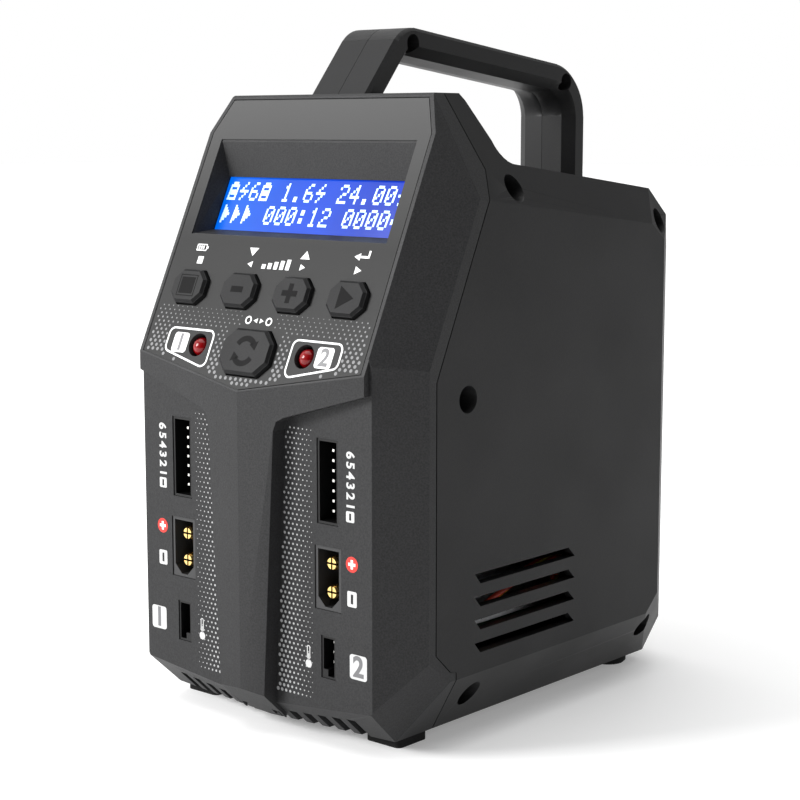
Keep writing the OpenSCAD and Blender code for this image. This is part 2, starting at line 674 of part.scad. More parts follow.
front_casing();
fascia_label();
lcd_bezel();
lcd_glass();
lcd_backlight();
lcd_board();
button_stop();
button_minus();
button_plus();
button_start();
button_channel();
tact_switches();
led_a();
led_b();
control_board();
board_screws();
connector_board();
balance_socket_a();
balance_socket_b();
balance_pins_a();
balance_pins_b();
power_socket_a();
power_socket_b();
power_pins_a();
power_pins_b();
sensor_socket_a();
sensor_socket_b();
sensor_pins_a();
sensor_pins_b();
right_shell();
left_shell();
shell_screws();
rear_panel();
fan_frame();
fan_rotor();
fan_screws();
ac_inlet();
ac_pins();
dc_inlet();
dc_pins();
main_board();
transformer();
capacitors();
inductors();
heatsink_left();
heatsink_right();
mains_lead_live();
mains_lead_neutral();
foot_front_left();
foot_front_right();
foot_rear_left();
foot_rear_right();
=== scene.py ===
"""Looks for the upright two-channel balance charger."""

import math

import bmesh
import bpy
from mathutils import Matrix, Vector


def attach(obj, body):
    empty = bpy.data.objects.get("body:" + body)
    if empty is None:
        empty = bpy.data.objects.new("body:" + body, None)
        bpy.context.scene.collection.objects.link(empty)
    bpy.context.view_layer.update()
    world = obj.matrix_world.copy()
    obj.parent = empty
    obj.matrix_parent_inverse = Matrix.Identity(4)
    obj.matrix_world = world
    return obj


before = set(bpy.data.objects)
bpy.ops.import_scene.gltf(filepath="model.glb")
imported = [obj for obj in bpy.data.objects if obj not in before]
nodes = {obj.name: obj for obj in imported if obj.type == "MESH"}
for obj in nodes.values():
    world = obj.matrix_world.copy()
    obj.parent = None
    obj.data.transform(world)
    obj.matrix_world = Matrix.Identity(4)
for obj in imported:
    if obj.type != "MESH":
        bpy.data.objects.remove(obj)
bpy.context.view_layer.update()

MM = 0.001
ROOT = "charger"

# ---------------------------------------------------------------- surface frames

FASCIA_LEAN = math.radians(24.85)
FASCIA_TOP_Y = -0.0328
FASCIA_TOP_Z = 0.1605
PANEL_Y = -0.0615

# The fascia: x across, y up the slope, z outwards, from the middle of its top edge
FASCIA = Matrix((
    (MM, 0, 0, 0),
    (0, math.sin(FASCIA_LEAN) * MM, -math.cos(FASCIA_LEAN) * MM, FASCIA_TOP_Y),
    (0, math.cos(FASCIA_LEAN) * MM, math.sin(FASCIA_LEAN) * MM, FASCIA_TOP_Z),
    (0, 0, 0, 1),
))
# The connector panels: x across, y up, z outwards
PANEL = Matrix((
    (MM, 0, 0, 0),
    (0, 0, -MM, PANEL_Y),
    (0, MM, 0, 0),
    (0, 0, 0, 1),
))

# Heights of the printed faces above the surface they belong to, in mm
GROOVE_FLOOR = -0.12
LABEL_FACE = -0.03
DISPLAY_FACE = -5.68
KEY_FACE = 1.7
PANEL_FACE = 0.0
INK = 0.03                  # thickness of a printed layer
THIN_INK = 0.02             # thickness of a layer printed over another, or of a dot
DOT_SIDES = 10

# Places on the fascia, in mm
KEY_ROW = -54.1
KEY_X = {"button_stop": -27.8, "button_minus": -9.3, "button_plus": 9.3, "button_start": 27.8}
CHANNEL_ROW = -70.0
LAMP_INNER = 13.8
LAMP_OUTER = 30.8
LAMP_TOP = -65.0
LAMP_BOTTOM = -71.6         # at the outer side; the outline reaches lower at the inner side
LAMP_POINT = -75.6


# ---------------------------------------------------------------- node materials

NOISE_LOW = 0.3             # the part of a noise's range that the materials use
NOISE_HIGH = 0.7


class Paint:
    """A small helper that builds a node material around one Principled shader."""

    def __init__(self, name, **sockets):
        self.material = bpy.data.materials.new(name)
        self.material.use_nodes = True
        self.tree = self.material.node_tree
        self.shader = self.tree.nodes["Principled BSDF"]
        for socket, value in sockets.items():
            self.shader.inputs[socket.replace("_", " ")].default_value = value
        self.position = self.add("ShaderNodeTexCoord").outputs["Object"]

    def add(self, kind, **inputs):
        """Adds a node; an input is either another node's output or a plain value."""
        node = self.tree.nodes.new(kind)
        for name, value in inputs.items():
            socket = node.inputs[name.replace("_", " ")]
            if hasattr(value, "is_output"):
                self.tree.links.new(value, socket)
            else:
                socket.default_value = value
        return node

    def noise(self, scale, detail=2.0, roughness=0.5):
        node = self.add("ShaderNodeTexNoise", Vector=self.position, Scale=scale, Detail=detail,
                        Roughness=roughness)
        return node.outputs["Fac"]

    def ramp(self, fac, stops):
        node = self.add("ShaderNodeValToRGB", Fac=fac)
        ramp = node.color_ramp
        while len(ramp.elements) < len(stops):
            ramp.elements.new(0.5)
        for element, (place, colour) in zip(ramp.elements, stops):
            element.position = place
            element.color = colour if len(colour) == 4 else (*colour, 1)
        return node.outputs["Color"]

    def spread(self, fac, low, high, out_low, out_high):
        node = self.add("ShaderNodeMapRange", Value=fac)
        node.inputs["From Min"].default_value = low
        node.inputs["From Max"].default_value = high
        node.inputs["To Min"].default_value = out_low
        node.inputs["To Max"].default_value = out_high
        return node.outputs["Result"]

    def link(self, output, socket):
        self.tree.links.new(output, self.shader.inputs[socket])

    def tint(self, noise, dark, light):
        """Colours the surface from dark to light over a noise, and returns the colour."""
        colour = self.ramp(noise, [(NOISE_LOW, dark), (NOISE_HIGH, light)])
        self.link(colour, "Base Color")
        return colour

    def vary(self, noise, low, high, socket="Roughness"):
        """Lets one value of the shader run from low to high over a noise."""
        self.link(self.spread(noise, NOISE_LOW, NOISE_HIGH, low, high), socket)

    def bump(self, *layers):
        """Stacks bump layers, each (height output, strength, distance in metres)."""
        normal = None
        for height, strength, distance in layers:
            node = self.add("ShaderNodeBump", Height=height, Strength=strength, Distance=distance)
            if normal:
                self.tree.links.new(normal, node.inputs["Normal"])
            normal = node.outputs["Normal"]
        self.link(normal, "Normal")


def grey(level, blue=0.0):
    """A grey, with a little more blue when asked."""
    return (level, level, level * (1 + blue), 1)


def dimmed(colour, share):
    return tuple(share * c for c in colour)


def moulded(name, level, roughness, grain=0.00006, grain_scale=2600, variation=0.16, gloss=0.5):
    """Injection-moulded plastic with a fine spark-eroded grain and slight wear."""
    coolness = 0.04
    paint = Paint(name, Specular_IOR_Level=gloss)
    fine = paint.noise(grain_scale, 3.0, 0.6)
    broad = paint.noise(38, 3.0)
    speck = paint.noise(grain_scale * 1.1, 1.0)
    paint.tint(speck, grey(level * (1 - variation), coolness), grey(level * (1 + variation), coolness))
    paint.vary(broad, roughness - 0.04, roughness + 0.05)
    paint.bump((fine, 0.55, grain), (broad, 0.05, 0.0002))
    return paint.material


def film(name):
    """The printed satin film of the fascia label: dark, with painted light that makes it paler towards its
    top edge.
    """
    painted_light_start, painted_light_end = 0.085, 0.162         # heights in metres
    paint = Paint(name, Specular_IOR_Level=0.10)
    height = paint.add("ShaderNodeSeparateXYZ", Vector=paint.position).outputs["Z"]
    # painted light: the film's base colour turns paler with height, towards the label's top edge
    fade = paint.spread(height, painted_light_start, painted_light_end, 0.0, 1.0)
    paint.link(paint.ramp(fade, [(0.0, grey(0.018)), (0.5, grey(0.017)), (1.0, grey(0.072))]), "Base Color")
    fine = paint.noise(5200, 2.0)
    paint.vary(fine, 0.38, 0.48)
    paint.bump((fine, 0.25, 0.00002))
    return paint.material


def backlit(name):
    """The lit display: azure at its left, royal blue at its right, faintly uneven."""
    half_width = 0.033
    azure, blue, royal = (0.0, 0.16, 0.92), (0.0, 0.075, 0.80), (0.002, 0.022, 0.52)
    paint = Paint(name, Roughness=0.35, Specular_IOR_Level=0.1, Coat_Weight=0.05, Coat_Roughness=0.08)
    place = paint.add("ShaderNodeSeparateXYZ", Vector=paint.position)
    across = paint.spread(place.outputs["X"], -half_width, half_width, 0.0, 1.0)
    glow = paint.ramp(across, [(0.0, azure), (0.45, blue), (1.0, royal)])
    haze = paint.noise(60, 2.0)
    paint.tint(haze, (0.0, 0.010, 0.060), (0.0, 0.014, 0.080))
    paint.link(glow, "Emission Color")
    paint.vary(haze, 0.85, 1.0, "Emission Strength")
    return paint.material


def ink(name, colour, glow=0.0):
    """Screen-printed ink, a little uneven."""
    paint = Paint(name, Specular_IOR_Level=0.4, Emission_Strength=glow)
    fine = paint.noise(3000, 2.0)
    shade = paint.tint(fine, dimmed(colour, 0.90), colour)
    if glow:
        paint.link(shade, "Emission Color")
    paint.vary(fine, 0.45, 0.55)
    return paint.material


def lens_red(name):
    """The tinted dome of a lamp, with a faint swirl in the resin."""
    paint = Paint(name, Specular_IOR_Level=0.25, Coat_Weight=0.25, Coat_Roughness=0.05)
    swirl = paint.noise(150, 1.0)
    paint.tint(swirl, (0.16, 0.001, 0.002), (0.24, 0.002, 0.004))
    paint.vary(swirl, 0.10, 0.16)
    return paint.material


def plated(name, colour, roughness, scratch=1400):
    """Plated or brushed metal with fine drawn lines."""
    paint = Paint(name, Metallic=1.0)
    line = paint.noise(scratch, 4.0, 0.7)
    paint.tint(line, dimmed(colour, 0.72), colour)
    paint.vary(line, roughness * 0.75, roughness * 1.35)
    paint.bump((line, 0.12, 0.00003))
    return paint.material


def solder_mask(name):
    """Green circuit board with copper traces showing faintly through the mask."""
    green, trace, gap = (0.015, 0.11, 0.035), (0.03, 0.19, 0.05), (0.012, 0.08, 0.03)
    paint = Paint(name, Roughness=0.35, Coat_Weight=0.4, Coat_Roughness=0.2)
    cells = paint.add("ShaderNodeTexVoronoi", Vector=paint.position, Scale=260.0)
    cells.distance = "CHEBYCHEV"
    distance = cells.outputs["Distance"]
    paint.link(paint.ramp(distance, [(0.0, green), (0.42, green), (0.46, trace), (0.6, gap)]), "Base Color")
    paint.bump((distance, 0.15, 0.00005))
    return paint.material


def coloured(name, colour, roughness):
    """Plain coloured plastic, sleeve or tape with slight mottling."""
    paint = Paint(name, Specular_IOR_Level=0.5, Coat_Weight=0.2)
    mottle = paint.noise(300, 3.0)
    paint.tint(mottle, dimmed(colour, 0.78), colour)
    paint.vary(mottle, roughness - 0.06, roughness + 0.06)
    paint.bump((mottle, 0.1, 0.00008))
    return paint.material


def floor_paint(name):
    """The pale floor that the charger stands on."""
    paint = Paint(name, Specular_IOR_Level=0.2, Emission_Color=(1, 1, 1, 1), Emission_Strength=0.25)
    soft = paint.noise(3, 2.0)
    paint.tint(soft, grey(0.80), grey(0.83))
    paint.vary(soft, 0.6, 0.7)
    return paint.material


CASE = moulded("case_front", 0.021, 0.52, grain=0.00009, grain_scale=2300, variation=0.25, gloss=0.20)
SHELL = moulded("case_shell", 0.011, 0.46, grain=0.00004, grain_scale=2800, variation=0.14, gloss=0.20)
KEYS = moulded("key_plastic", 0.013, 0.42, grain=0.00002, variation=0.10, gloss=0.08)
BLACK = moulded("black_plastic", 0.004, 0.32, grain=0.00002, variation=0.10, gloss=0.25)
SOCKET_RIM = moulded("socket_plastic", 0.022, 0.30, grain=0.00002, variation=0.10, gloss=0.4)
RUBBER = moulded("foot_rubber", 0.006, 0.75, grain=0.00008, grain_scale=1500, gloss=0.2)
LABEL = film("label_film")
DISPLAY = backlit("display_blue")
WHITE = ink("ink_white", (0.88, 0.88, 0.88, 1))
PALE = ink("ink_pale", (0.56, 0.56, 0.56, 1))
MID_GREY = ink("ink_mid_grey", (0.15, 0.15, 0.155, 1))
RED = ink("ink_red", (0.70, 0.03, 0.02, 1))
DOT = ink("ink_dot", (0.40, 0.40, 0.405, 1))
DIM_DOT = ink("ink_dim_dot", (0.15, 0.15, 0.155, 1))
SEGMENT = ink("display_character", (0.55, 0.78, 1.0, 1), glow=0.45)
ICON = moulded("key_icon", 0.004, 0.45, grain=0.00001, variation=0.08, gloss=0.04)
LAMP = lens_red("lamp_red")
TIN = plated("tin", (0.75, 0.74, 0.70, 1), 0.22)
GOLD = plated("gold", (0.95, 0.66, 0.24, 1), 0.18)
STEEL = plated("zinc_steel", (0.55, 0.55, 0.56, 1), 0.30)
DARK_STEEL = plated("dark_steel", (0.05, 0.05, 0.055, 1), 0.35)
ALLOY = plated("alloy", (0.60, 0.61, 0.62, 1), 0.35, 700)
COPPER = plated("copper_wire", (0.72, 0.30, 0.12, 1), 0.28, 2200)
BOARD = solder_mask("solder_mask")
DIFFUSER = coloured("light_guide", (0.80, 0.84, 0.88, 1), 0.5)
TAPE = coloured("core_tape", (0.72, 0.48, 0.06, 1), 0.35)
SLEEVE = coloured("sleeve", (0.03, 0.05, 0.16, 1), 0.25)
YELLOW = coloured("yellow_nylon", (0.72, 0.50, 0.03, 1), 0.42)
WIRE_RED = coloured("wire_red", (0.60, 0.05, 0.02, 1), 0.35)
WIRE_BLUE = coloured("wire_blue", (0.03, 0.10, 0.42, 1), 0.35)

NODE_PAINT = {
    "front_casing": CASE, "right_shell": SHELL, "left_shell": SHELL, "rear_panel": SHELL,
    "fascia_label": LABEL, "lcd_bezel": BLACK, "lcd_glass": DISPLAY, "lcd_backlight": DIFFUSER,
    "lcd_board": BOARD, "control_board": BOARD, "connector_board": BOARD, "main_board": BOARD,
    "tact_switches": STEEL, "board_screws": STEEL, "shell_screws": DARK_STEEL, "fan_screws": STEEL,
    "fan_frame": BLACK, "fan_rotor": BLACK, "ac_inlet": BLACK, "ac_pins": TIN, "dc_inlet": YELLOW,
    "dc_pins": GOLD, "transformer": TAPE, "capacitors": SLEEVE, "inductors": COPPER,
    "mains_lead_live": WIRE_RED, "mains_lead_neutral": WIRE_BLUE,
}
PREFIX_PAINT = {
    "button": KEYS, "led": LAMP, "balance_socket": BLACK, "sensor_socket": BLACK, "power_socket": SOCKET_RIM,
    "balance_pins": TIN, "sensor_pins": TIN, "power_pins": GOLD, "heatsink": ALLOY, "foot": RUBBER,
}
# Bevel widths in mm; nodes that are not named keep the edges of the CAD
EDGE_WIDTH = {
    "front_casing": 0.45, "right_shell": 0.45, "left_shell": 0.45, "rear_panel": 0.25, "ac_inlet": 0.3,
    "dc_inlet": 0.2, "fan_frame": 0.3, "fan_rotor": 0.2, "transformer": 0.4, "button": 0.18, "foot": 0.3,
}


def by_name(table, name):
    """The entry under a node's own name, or else under the start of its name."""
    if name in table:
        return table[name]
    return next((value for key, value in table.items() if name.startswith(key)), None)


def round_edges(obj, width):
    """Breaks the sharp edges of a CAD node without changing its mesh data."""
    weld = obj.modifiers.new("weld", "WELD")
    weld.merge_threshold = 0.000002
    bevel = obj.modifiers.new("edges", "BEVEL")
    bevel.width = width * MM
    bevel.segments = 2
    bevel.limit_method = "ANGLE"
    bevel.angle_limit = math.radians(24)
    bevel.use_clamp_overlap = True
    bevel.harden_normals = True


for name, obj in nodes.items():
    material = by_name(NODE_PAINT, name) or by_name(PREFIX_PAINT, name)
    obj.data.materials.clear()
    obj.data.materials.append(material)
    width = by_name(EDGE_WIDTH, name)
    if width:
        round_edges(obj, width)


# ---------------------------------------------------------------- flat shapes for printed marks

def box_outline(x, y, w, h, radius=0.0, steps=5):
    """A rectangle centred on (x, y), with rounded corners when a radius is given."""
    if not radius:
        signs = ((-1, -1), (1, -1), (1, 1), (-1, 1))
        return [(x + sx * w / 2, y + sy * h / 2) for sx, sy in signs]
    points = []
    for i, (sx, sy) in enumerate(((1, -1), (1, 1), (-1, 1), (-1, -1))):
        cx = x + sx * (w / 2 - radius)
        cy = y + sy * (h / 2 - radius)
        for k in range(steps + 1):
            a = math.radians(-90 + 90 * i + 90 * k / steps)
            points.append((cx + radius * math.cos(a), cy + radius * math.sin(a)))
    return points


def disc(x, y, r, count=24):
    angles = [2 * math.pi * k / count for k in range(count)]
    return [(x + r * math.cos(a), y + r * math.sin(a)) for a in angles]


def rounded(corners, radius, steps=5):
    """A polygon whose corners are replaced by arcs."""
    points = []
    for i, corner in enumerate(corners):
        p = Vector(corner)
        a = (Vector(corners[i - 1]) - p).normalized()
        b = (Vector(corners[(i + 1) % len(corners)]) - p).normalized()
        half = a.angle(b) / 2
        centre = p + (a + b).normalized() * radius / math.sin(half)
        start = p + a * radius / math.tan(half) - centre
        end = p + b * radius / math.tan(half) - centre
        turn = math.atan2(start.x * end.y - start.y * end.x, start.dot(end))
        for k in range(steps + 1):
            spin = turn * k / steps
            points.append((centre.x + start.x * math.cos(spin) - start.y * math.sin(spin),
                           centre.y + start.x * math.sin(spin) + start.y * math.cos(spin)))
    return points


def winding(points):
    """1 for a counter-clockwise outline, -1 for a clockwise one."""
    area = 0.0
    for i, (x, y) in enumerate(points):
        last_x, last_y = points[i - 1]
        area += last_x * y - x * last_y
    return 1 if area > 0 else -1


def inset(points, distance):
    """Moves each point of an outline inwards, square to the line through its neighbours."""
    side = winding(points)
    result = []
    for i, corner in enumerate(points):
        before = Vector(points[i - 1])
        after = Vector(points[(i + 1) % len(points)])
        along = (after - before).normalized()
        normal = Vector((-along.y, along.x))
        result.append(tuple(Vector(corner) + normal * distance * side))
    return result


def arc_band(x, y, r, width, start, end, steps=14):
    """A curved band between two angles in degrees."""
    outer, inner = [], []
    for k in range(steps + 1):
        a = math.radians(start + (end - start) * k / steps)
        outer.append((x + (r + width / 2) * math.cos(a), y + (r + width / 2) * math.sin(a)))
        inner.append((x + (r - width / 2) * math.cos(a), y + (r - width / 2) * math.sin(a)))
    return outer + inner[::-1]


class Print:
    """Collects thin flat shapes on one surface and makes a single object of them."""

    def __init__(self, name, surface, face, material, thickness=INK):
        self.name = name
        self.surface = surface
        self.face = face
        self.material = material
        self.thickness = thickness
        self.mesh = bmesh.new()

    def point(self, x, y, top):
        return self.mesh.verts.new(self.surface @ Vector((x, y, self.face + (self.thickness if top else 0))))

    def walls(self, low, high):
        for i in range(len(low)):
            j = (i + 1) % len(low)
            self.mesh.faces.new((low[i], low[j], high[j], high[i]))

    def solid(self, outline):
        low = [self.point(x, y, False) for x, y in outline]
        high = [self.point(x, y, True) for x, y in outline]
        self.mesh.faces.new(low[::-1])
        self.mesh.faces.new(high)
        self.walls(low, high)

    def ring(self, outer, inner):
        """A band between two outlines of the same number of points."""
        loops = [[self.point(x, y, top) for x, y in line] for line in (outer, inner) for top in (False, True)]
        out_low, out_high, in_low, in_high = loops
        for i in range(len(outer)):
            j = (i + 1) % len(outer)
            self.mesh.faces.new((out_high[i], out_high[j], in_high[j], in_high[i]))
            self.mesh.faces.new((out_low[i], in_low[i], in_low[j], out_low[j]))
        self.walls(out_low, out_high)
        self.walls(in_high, in_low)

    def text(self, body, x, y, size, turn=0.0):
        """A numeral in the built-in font, centred on (x, y) and turned by an angle in degrees."""
        curve = bpy.data.curves.new("numeral", "FONT")
        curve.body = body
        curve.size = size
        curve.align_x = "CENTER"
        curve.align_y = "CENTER"
        curve.extrude = self.thickness / 2
        curve.offset = 0.03 * size
        holder = bpy.data.objects.new("numeral", curve)
        flat = bpy.data.meshes.new_from_object(holder)
        shift = Matrix.Translation((x, y, self.face + self.thickness / 2))
        flat.transform(self.surface @ (shift @ Matrix.Rotation(math.radians(turn), 4, "Z")))
        self.mesh.from_mesh(flat)
        bpy.data.objects.remove(holder)
        bpy.data.curves.remove(curve)
        bpy.data.meshes.remove(flat)

    def done(self, body=ROOT, bevel=0.0):
        bmesh.ops.recalc_face_normals(self.mesh, faces=self.mesh.faces)
        data = bpy.data.meshes.new(self.name)
        self.mesh.to_mesh(data)
        self.mesh.free()
        obj = bpy.data.objects.new(self.name, data)
        bpy.context.scene.collection.objects.link(obj)
        data.materials.append(self.material)
        if bevel:
            edge = obj.modifiers.new("edge", "BEVEL")
            edge.width = bevel * MM
            edge.segments = 2
        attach(obj, body)
        return obj


# ---------------------------------------------------------------- fascia print

def label_rim():
    """The raised rounded rim in the groove around the label."""
    height, outer_edge, inner_edge = 0.13, 0.5, 0.15
    top_half, top = 34.0, -0.75
    corner_half, corner = 38.15, -10.3
    foot_half, foot = 38.45, -72.15
    point = -79.65

    def outline(grow):
        half = [
            (top_half + grow * 0.7, top + grow),
            (corner_half + grow, corner),
            (foot_half + grow, foot - grow * 0.6),
        ]
        return [(-x, y) for x, y in half] + [(0, point - grow)] + half[::-1]

    rim = Print("label_rim", FASCIA, GROOVE_FLOOR, CASE, height)
    rim.ring(outline(outer_edge), outline(inner_edge))
    rim.done(bevel=0.05)


def lamp_frames():
    """A white outline round each lamp, with a white tag that carries the channel number."""
    corner_radius, line_width = 2.0, 0.5
    tag_x, tag_y, tag_size, tag_radius = 25.5, -69.1, 5.4, 0.9
    corners = [
        (LAMP_INNER, LAMP_TOP),
        (LAMP_OUTER, LAMP_TOP),
        (LAMP_OUTER, LAMP_BOTTOM),
        (LAMP_INNER, LAMP_POINT),
    ]
    marks = Print("lamp_frames", FASCIA, LABEL_FACE, WHITE)
    for side in (-1, 1):
        shape = [(side * x, y) for x, y in corners]
        if side < 0:
            shape.reverse()
        outer = rounded(shape, corner_radius)
        marks.ring(outer, inset(outer, line_width))
        marks.solid(box_outline(side * tag_x, tag_y, tag_size, tag_size, tag_radius))
    marks.done()
    numbers = Print("lamp_numbers", FASCIA, LABEL_FACE + INK, MID_GREY, THIN_INK)
    for side, channel in ((-1, "1"), (1, "2")):
        numbers.text(channel, side * tag_x, tag_y - 0.1, 6.2)
    numbers.done()


def battery(marks, x, y, size):
    """A battery pictogram: a case, a cap and three charge bars."""
    length, wall = 2.0 * size, 0.15 * size
    outer = box_outline(x, y, length, size, wall)
    marks.ring(outer, box_outline(x, y, length - 2 * wall, size - 2 * wall, 0.05 * size))
    cap = 0.24 * size
    marks.solid(box_outline(x + length / 2 + cap / 2, y, cap, 0.4 * size))
    first_bar, bar_pitch = x - 0.52 * size, 0.42 * size
    for k in range(3):
        marks.solid(box_outline(first_bar + bar_pitch * k, y, 0.26 * size, 0.5 * size))


def arrow_head(marks, x, y, size, way):
    """A triangle that points to the right when way is 1 and to the left when it is -1."""
    back = x - way * size / 2
    tip = x + way * size / 2
    marks.solid([(back, y - size / 2), (tip, y), (back, y + size / 2)][::way])


def key_legends():
    """Pictograms above the keys, in place of words."""
    marks = Print("key_legends", FASCIA, LABEL_FACE, WHITE)
    upper_row, lower_row = -42.9, -46.4
    stop, minus, plus = (KEY_X[key] for key in ("button_stop", "button_minus", "button_plus"))
    # battery and stop square
    battery(marks, stop - 0.8, upper_row, 1.9)
    marks.solid(box_outline(stop, lower_row, 2.0, 2.0))
    # down and up, for the smaller and the larger value
    high, low, half = -42.2, -44.4, 1.6
    marks.solid([(minus - half, high), (minus, low), (minus + half, high)])
    marks.solid([(plus - half, low), (plus + half, low), (plus, high)])
    # the bar graph between two arrows
    for x, way in ((minus, -1), (plus, 1)):
        arrow_head(marks, x, -46.6, 1.7, way)
    first_bar, bar_pitch, bar_width, bar_foot = -4.2, 2.1, 1.3, -47.6
    for k in range(5):
        bar_height = 1.2 + 0.4 * k
        marks.solid(box_outline(first_bar + bar_pitch * k, bar_foot + bar_height / 2, bar_width, bar_height))
    # an entering arrow over a start triangle
    stem_x, stem_length, line = 28.6, 3.6, 0.6
    marks.solid(box_outline(stem_x, upper_row, stem_length, line))
    marks.solid(box_outline(stem_x + (stem_length - line) / 2, high, line, 2.0))
    arrow_head(marks, stem_x - 2.2, upper_row, 1.9, -1)
    arrow_head(marks, 27.9, lower_row, 2.1, 1)
    # two lamps side by side, for the channel key
    channel_row = -61.4
    ring_x, ring_radius, bore_radius = 3.6, 1.1, 0.7
    for x in (-ring_x, ring_x):
        marks.ring(disc(x, channel_row, ring_radius), disc(x, channel_row, bore_radius))
    for side in (-1, 1):
        arrow_head(marks, side * 1.1, channel_row, 1.3, side)
    marks.done()


def on_lamp_frame(u, v):
    """Whether a label dot at (u, v) would meet a lamp's outline or fall inside it."""
    gap, lower_gap, lower_slope = 0.6, 0.7, 0.235
    lower_edge = LAMP_BOTTOM - (LAMP_OUTER - abs(u)) * lower_slope
    return LAMP_INNER - gap < abs(u) < LAMP_OUTER + gap and lower_edge < v + lower_gap and v < LAMP_TOP + gap


def on_channel_key(u, v):
    """Whether a label dot at (u, v) would meet the channel key or the pictogram above it."""
    key_width, key_height = 9.6, 7.0            # half sizes, with a gap around the key
    legend_width, legend_foot = 5.6, -63.4
    on_key = abs(u) < key_width and abs(v - CHANNEL_ROW) < key_height
    on_legend = abs(u) < legend_width and v > legend_foot
    return on_key or on_legend


def label_dots():
    """The halftone field along the label's lower edge, larger towards the point and the sides."""
    face = LABEL_FACE - 0.005           # just below the other print, which may touch it
    marks = Print("label_dots", FASCIA, face, DIM_DOT, THIN_INK)
    pitch, row_pitch = 1.8, 1.1
    first_row, rows, columns = -59.4, 19, 21
    corner_x, corner_y, point_drop = 38.4, -72.1, 7.5
    side_limit, edge_gap = 37.2, 0.8
    smallest, growth = 0.12, 0.36
    growth_start, growth_length = 59, 15        # down the label
    side_start, side_length, side_share = 24, 14, 0.3
    for row in range(rows):
        v = first_row - row * row_pitch
        column_shift = 0.5 if row % 2 else 0.0
        for column in range(-columns, columns + 1):
            u = (column + column_shift) * pitch
            edge = corner_y - (corner_x - abs(u)) * point_drop / corner_x
            outside = abs(u) > side_limit or v < edge + edge_gap
            if outside or on_lamp_frame(u, v) or on_channel_key(u, v):
                continue
            strength = (abs(v) - growth_start) / growth_length
            strength += side_share * max(0.0, abs(u) - side_start) / side_length
            marks.solid(disc(u, v, smallest + growth * min(1.0, strength), DOT_SIDES))
    marks.done()


# ---------------------------------------------------------------- display characters

# Dot-matrix rows from top to bottom; b, f and > are pictograms: a battery, a flash and an arrow
GLYPHS = {
    "0": "01110 10001 10011 10101 11001 10001 01110",
    "1": "00100 01100 00100 00100 00100 00100 01110",
    "2": "01110 10001 00001 00110 01000 10000 11111",
    "4": "00010 00110 01010 10010 11111 00010 00010",
    "6": "00110 01000 10000 11110 10001 10001 01110",
    ":": "00000 01100 01100 00000 01100 01100 00000",
    ".": "00000 00000 00000 00000 00000 01100 01100",
    "b": "01110 11111 10001 11111 11111 10001 11111",
    "f": "00010 00100 01000 11111 00010 00100 01000",
    ">": "10000 11000 11100 11110 11100 11000 10000",
}
DISPLAY_ROWS = ("bf6b 1.6f 24.00f", ">>> 000:12 00004")


def display_characters():
    """Two lines of sixteen dot-matrix characters; pictograms stand where the display shows letters."""
    marks = Print("display_characters", FASCIA, DISPLAY_FACE, SEGMENT)
    left_edge, top_edge = -31.6, -21.9
    cell, line = 3.98, 6.55
    dot_w, dot_h = 0.62, 0.74
    slant, fill = 0.10, 0.96
    for row, text in enumerate(DISPLAY_ROWS):
        top = top_edge - line * row
        for column, letter in enumerate(text):
            if letter == " ":
                continue
            left = left_edge + cell * column
            for j, bits in enumerate(GLYPHS[letter].split()):
                lean = slant * (6 - j) * dot_h
                y = top - (j + 0.5) * dot_h
                for i, bit in enumerate(bits):
                    if bit == "1":
                        x = left + (i + 0.5) * dot_w + lean
                        marks.solid(box_outline(x, y, dot_w * fill, dot_h * fill))
    marks.done()


# ---------------------------------------------------------------- key icons

def key_icons():
    """Dark inlays on the keys: square, minus, plus, triangle and two turning arrows."""
    def icon(button):
        return Print(button.replace("button", "icon"), FASCIA, KEY_FACE, ICON, 0.035)

    stop = icon("button_stop")
    x = KEY_X["button_stop"]
    outer, inner, core = (box_outline(x, KEY_ROW, size, size - 0.5) for size in (6.4, 5.9, 5.0))
    stop.ring(outer, inner)
    stop.solid(core)
    stop.done("button_stop")

    minus = icon("button_minus")
    minus.solid(box_outline(KEY_X["button_minus"], KEY_ROW, 4.2, 1.6))
    minus.done("button_minus")

    plus = icon("button_plus")
    x = KEY_X["button_plus"]
    arm, half = 2.6, 0.75
    corner = [(-arm, -half), (-half, -half), (-half, -arm)]
    cross = []
    for _ in range(4):
        cross += corner
        corner = [(-dy, dx) for dx, dy in corner]
    plus.solid([(x + dx, KEY_ROW + dy) for dx, dy in cross])
    plus.done("button_plus")

    start = icon("button_start")
    x = KEY_X["button_start"]
    back, tip, half = 2.1, 2.9, 3.0
    start.solid([(x - back, KEY_ROW - half), (x + tip, KEY_ROW), (x - back, KEY_ROW + half)])
    start.done("button_start")

    turn = icon("button_channel")
    radius, width = 3.3, 1.5
    for spin in (0, 180):
        turn.solid(arc_band(0, CHANNEL_ROW, radius, width, spin + 40, spin + 150))
        a = math.radians(spin + 22)
        tip = Vector((radius * math.cos(a), radius * math.sin(a)))
        out = tip.normalized()
        back = Vector((-out.y, out.x)) * 1.5
        head = (tip - back * 0.6, tip + back * 0.8 + out * width, tip + back * 0.8 - out * width)
        turn.solid([(p.x, CHANNEL_ROW + p.y) for p in head])
    turn.done("button_channel")


# ---------------------------------------------------------------- connector panel print

PIN_PITCH = 2.5
LOWEST_PIN = 60.05


def plus_badge(red, white, x, z):
    """A red disc with a white plus sign, for the positive contact."""
    radius, length, width = 1.95, 2.3, 0.75
    red.solid(disc(x, z, radius))
    white.solid(box_outline(x, z, length, width))
    for way in (1, -1):
        white.solid(box_outline(x, z + way * width, width, 0.78))


